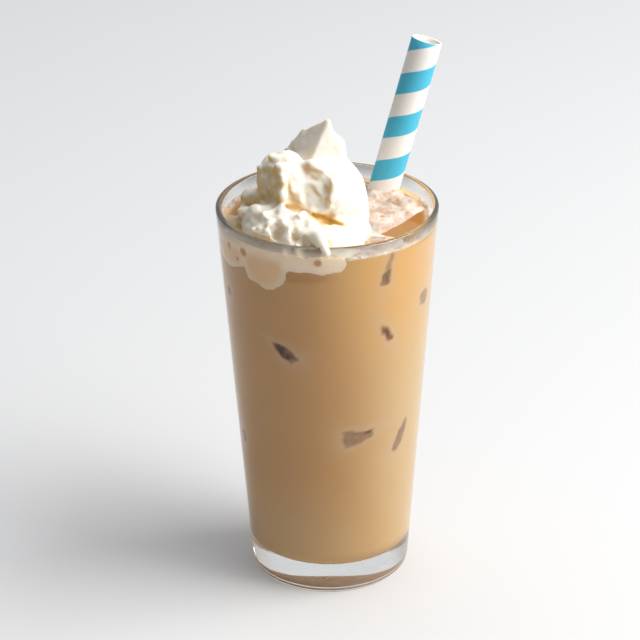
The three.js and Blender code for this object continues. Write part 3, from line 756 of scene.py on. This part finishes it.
def coffee_material():
    s = Shader("milky coffee")
    drift = s.noise(22.0, 2.0)
    plain = s.mix(drift, (0.50, 0.255, 0.083, 1), (0.54, 0.285, 0.10, 1))
    # painted light: paler towards the right, and paler towards the foot
    plain = s.mix(s.value("painted_light_and_pale_foot"), plain, (0.575, 0.385, 0.185, 1))
    plain = s.mix(s.value("painted_glow"), plain, (0.66, 0.36, 0.115, 1))
    # painted shade under the smear
    plain = s.mix(s.math("MULTIPLY", s.value("painted_shade_under_smear"), 0.6), plain, (0.42, 0.18, 0.04, 1))
    # painted shade: faces that point up are darker and more orange
    facing = s.node("SeparateXYZ", {0: s.node("NewGeometry").outputs["Normal"]}).outputs[2]
    plain = s.mix(s.math("MULTIPLY", facing, 0.9, clamp=True), plain, (0.40, 0.20, 0.068, 1))
    # painted shade on the open pool at the right
    plain = s.mix(s.value("painted_pool_shade"), plain, (0.38, 0.145, 0.024, 1))
    plain = s.mix(s.value("shore"), plain, (0.80, 0.57, 0.32, 1))
    hazy = s.mix(s.math("MULTIPLY", s.value("ice_halo"), 0.4), plain, (0.55, 0.39, 0.25, 1))
    streaks = s.math("MULTIPLY", s.math("SUBTRACT", s.noise(330.0, 2.0), 0.42), 4.0, clamp=True)
    sunk = s.mix(streaks, (0.05, 0.010, 0.0, 1), (0.21, 0.075, 0.025, 1))
    shown = s.mix(s.value("ice_shown"), hazy, sunk)
    surface = s.principled(
        Base_Color=shown,
        Roughness=0.22,
        IOR=1.34,
        Specular_IOR_Level=0.12,
        Subsurface_Weight=0.12,
        Subsurface_Radius=(1.0, 0.55, 0.28),
        Subsurface_Scale=0.004,
    )
    return s.finish(surface)


# Painted shade: cream faces turned this way, away from the window light, are coloured warm and dark
SHADED_SIDE = (-0.62, -0.25, -0.75)  # the way the cream's warmest shade faces


def cream_material():
    s = Shader("whipped cream")
    # painted shade in the creases: the deeper a point lies in a fold, the warmer and darker its colour
    fold = s.math("POWER", s.value("fold"), 2.3)
    # painted shade on the side turned away from the window light, eased where "pale" is set
    normal = s.node("NewGeometry").outputs["Normal"]
    shaded = {0: normal, 1: SHADED_SIDE}
    away = s.node("VectorMath", shaded, operation="DOT_PRODUCT").outputs["Value"]
    away = s.math("MULTIPLY", s.math("SUBTRACT", away, 0.05), 1.7, clamp=True)
    away = s.math("MULTIPLY", away, s.math("SUBTRACT", 1.0, s.math("MULTIPLY", s.value("pale"), 0.85)))
    cream_and_painted_shade = s.mix(away, (0.85, 0.805, 0.715, 1), (0.68, 0.455, 0.165, 1))
    cream_and_painted_shade = s.mix(fold, cream_and_painted_shade, (0.79, 0.60, 0.33, 1))
    # painted shade on the low left end, with real soaking just above the coffee
    cream_and_painted_shade = s.mix(s.math("MULTIPLY", s.value("soak_and_painted_shade"), 0.85), cream_and_painted_shade, (0.60, 0.44, 0.22, 1))
    crevice_stain_and_shade = s.mix(s.value("gold"), cream_and_painted_shade, (0.86, 0.56, 0.17, 1))
    # painted shade along the crevice's deepest line
    crevice_stain_and_shade = s.mix(s.math("POWER", s.value("gold"), 9.0), crevice_stain_and_shade, (0.50, 0.27, 0.05, 1))
    milky = s.mix(s.math("MULTIPLY", s.value("smear"), 0.88), crevice_stain_and_shade, (0.95, 0.75, 0.55, 1))
    blotch = s.math("MULTIPLY", s.math("SUBTRACT", s.noise(240.0, 3.0), 0.38), 3.0, clamp=True)
    mottled = s.math("MULTIPLY", s.value("smear"), s.math("MULTIPLY", blotch, 0.22))
    milky = s.mix(mottled, milky, (0.70, 0.46, 0.24, 1))
    milky = s.mix(s.math("MULTIPLY", s.value("lobe"), 0.75), milky, (0.76, 0.45, 0.18, 1))
    faint = s.mix(s.math("MULTIPLY", s.value("thin"), 0.5), milky, (0.62, 0.36, 0.15, 1))
    colour = s.mix(s.value("stain"), faint, (0.55, 0.28, 0.09, 1))
    pits = s.noise(1100.0, 3.0, 0.6)
    surface = s.principled(
        Base_Color=colour,
        Roughness=0.55,
        Specular_IOR_Level=0.25,
        Subsurface_Weight=0.5,
        Subsurface_Radius=(1.0, 0.75, 0.4),
        Subsurface_Scale=0.003,
        Normal=s.bump(pits, 0.25, 0.0006),
    )
    return s.finish(surface)


def froth_material():
    s = Shader("froth")
    cells = s.node("TexVoronoi", {"Vector": s.place(), "Scale": 620.0}).outputs["Distance"]
    patch = s.math("MULTIPLY", s.math("SUBTRACT", s.noise(170.0, 3.0), 0.36), 3.4, clamp=True)
    pale = s.mix(patch, (0.56, 0.385, 0.26, 1), (0.77, 0.67, 0.60, 1))
    spots = s.math("MULTIPLY", s.math("SUBTRACT", s.noise(260.0, 1.0), 0.66), 10.0, clamp=True)
    pale = s.mix(spots, pale, (0.62, 0.30, 0.09, 1))
    surface = s.principled(
        Base_Color=pale,
        Roughness=0.3,
        Specular_IOR_Level=0.4,
        Subsurface_Weight=0.4,
        Subsurface_Radius=(1.0, 0.7, 0.45),
        Subsurface_Scale=0.002,
        Normal=s.bump(cells, 0.45, 0.0007),
    )
    return s.finish(surface)


def ice_material():
    s = Shader("wet ice")
    mottle = s.noise(160.0, 3.0)
    pale = s.mix(mottle, (0.80, 0.62, 0.48, 1), (0.93, 0.86, 0.80, 1))
    surface = s.principled(
        Base_Color=pale,
        Roughness=0.12,
        IOR=1.31,
        Specular_IOR_Level=0.5,
        Transmission_Weight=0.25,
        Subsurface_Weight=0.4,
        Subsurface_Radius=(1.0, 0.8, 0.6),
        Subsurface_Scale=0.003,
    )
    return s.finish(surface)


def straw_material():
    s = Shader("striped paper")
    place = s.node("SeparateXYZ", {0: s.place()}).outputs
    turn = s.math("DIVIDE", s.math("ARCTAN2", place[1], place[0]), 2 * math.pi)
    rise = s.math("DIVIDE", place[2], STRIPE_PITCH * 0.001)
    along = s.math("SUBTRACT", s.math("SUBTRACT", rise, turn), STRIPE_START)
    share = s.math("FRACT", along)
    edge = s.math("ABSOLUTE", s.math("SUBTRACT", share, 0.25))
    edge = s.math("MINIMUM", edge, s.math("SUBTRACT", 1.0, edge))
    blue = s.math("MULTIPLY", s.math("SUBTRACT", 0.25, edge), 60.0, clamp=True)
    radius = s.math("SQRT", s.math("ADD", s.math("POWER", place[0], 2.0), s.math("POWER", place[1], 2.0)))
    outside = s.math("GREATER_THAN", radius, (STRAW_RADIUS - 0.08) * 0.001)
    fibres = s.noise(900.0, 4.0, 0.6)
    paper = s.mix(fibres, (0.88, 0.84, 0.77, 1), (0.95, 0.92, 0.87, 1))
    ink = s.mix(fibres, (0.055, 0.46, 0.66, 1), (0.10, 0.54, 0.73, 1))
    surface = s.principled(
        Base_Color=s.mix(s.math("MULTIPLY", blue, outside), paper, ink),
        Roughness=0.6,
        Specular_IOR_Level=0.3,
        Normal=s.bump(fibres, 0.15, 0.0003),
    )
    return s.finish(surface)


def floor_material():
    s = Shader("pale table")
    grain = s.noise(3.0, 2.0)
    surface = s.principled(
        Base_Color=s.mix(grain, (0.70, 0.705, 0.71, 1), (0.715, 0.72, 0.725, 1)),
        Roughness=0.6,
        Specular_IOR_Level=0.2,
    )
    return s.finish(surface)


looks = {"tumbler": glass_material(), "iced_coffee": coffee_material(), "cream_heap": cream_material()}
looks.update({"froth": froth_material(), "paper_straw": straw_material()})
ice_look = ice_material()
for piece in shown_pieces():
    piece.data.materials.clear()
    piece.data.materials.append(looks.get(piece.name, ice_look))

# Table, light and camera, in metres
TABLE_HALF = 4
TABLE_DROP = 0.0002  # how far the table lies below the foot
LIGHT_AIM = (0, 0, 0.1)
floor_mesh = bpy.data.meshes.new("table")
TABLE_TURN = ((-1, -1), (1, -1), (1, 1), (-1, 1))
floor_corners = [(x * TABLE_HALF, y * TABLE_HALF, -TABLE_DROP) for x, y in TABLE_TURN]
floor_mesh.from_pydata(floor_corners, [], [(0, 1, 2, 3)])
floor_mesh.materials.append(floor_material())
table = bpy.data.objects.new("table", floor_mesh)
bpy.context.scene.collection.objects.link(table)


def area_light(name, position, size, power, colour):
    lamp = bpy.data.lights.new(name, "AREA")
    lamp.shape, lamp.size, lamp.energy, lamp.color = "SQUARE", size, power, colour
    holder = bpy.data.objects.new(name, lamp)
    holder.location = position
    holder.rotation_euler = (Vector(LIGHT_AIM) - Vector(position)).to_track_quat("-Z", "Y").to_euler()
    bpy.context.scene.collection.objects.link(holder)


area_light("window", (1.13, -0.14, 1.36), 1.15, 26.8, (1.0, 0.985, 0.965))
area_light("far window", (1.25, -0.72, 1.05), 1.2, 10.0, (1.0, 0.99, 0.975))

# The room, bright towards the back, the right and above, and dark towards the front left
world = bpy.data.worlds.new("room")
bpy.context.scene.world = world
world.use_nodes = True
room = world.node_tree
room.nodes.clear()
facing = room.nodes.new("ShaderNodeTexCoord")
bright_side = room.nodes.new("ShaderNodeVectorMath")
ramp = room.nodes.new("ShaderNodeValToRGB")
shift = room.nodes.new("ShaderNodeMapRange")
light = room.nodes.new("ShaderNodeBackground")
out = room.nodes.new("ShaderNodeOutputWorld")
bright_side.operation = "DOT_PRODUCT"
bright_side.inputs[1].default_value = (0.45, 0.6, 0.66)
room.links.new(facing.outputs["Generated"], bright_side.inputs[0])
room.links.new(bright_side.outputs["Value"], shift.inputs["Value"])
shift.inputs["From Min"].default_value = -1.0
shift.inputs["From Max"].default_value = 1.0
room.links.new(shift.outputs[0], ramp.inputs[0])
ramp.color_ramp.elements[0].color = (0.03, 0.03, 0.032, 1)
ramp.color_ramp.elements[0].position = 0.38
ramp.color_ramp.elements[1].color = (0.66, 0.67, 0.69, 1)
ramp.color_ramp.elements[1].position = 0.72
room.links.new(ramp.outputs[0], light.inputs["Color"])
light.inputs["Strength"].default_value = 1.1
room.links.new(light.outputs[0], out.inputs["Surface"])

CAMERA_RISE = math.radians(25.743)
CAMERA_ROLL = math.radians(-0.59)
CAMERA_AIM = Vector((-0.003197, 0, 0.10722))
CAMERA_DISTANCE = 1.0457
CAMERA_LENS = 150.02
back = Vector((0, -math.cos(CAMERA_RISE), math.sin(CAMERA_RISE)))
right = Vector((1, 0, 0))
up = back.cross(right)
lens = bpy.data.cameras.new("camera")
lens.sensor_width = 36.0
lens.lens = CAMERA_LENS
lens.clip_start, lens.clip_end = 0.01, 20.0
camera = bpy.data.objects.new("camera", lens)
turned_right = right * math.cos(CAMERA_ROLL) + up * math.sin(CAMERA_ROLL)
turned_up = up * math.cos(CAMERA_ROLL) - right * math.sin(CAMERA_ROLL)
axes = Matrix((turned_right, turned_up, back)).transposed().to_4x4()
camera.matrix_world = Matrix.Translation(CAMERA_AIM + back * CAMERA_DISTANCE) @ axes
bpy.context.scene.collection.objects.link(camera)
bpy.context.scene.camera = camera
bpy.context.scene.view_settings.view_transform = "Standard"

bpy.context.view_layer.update()
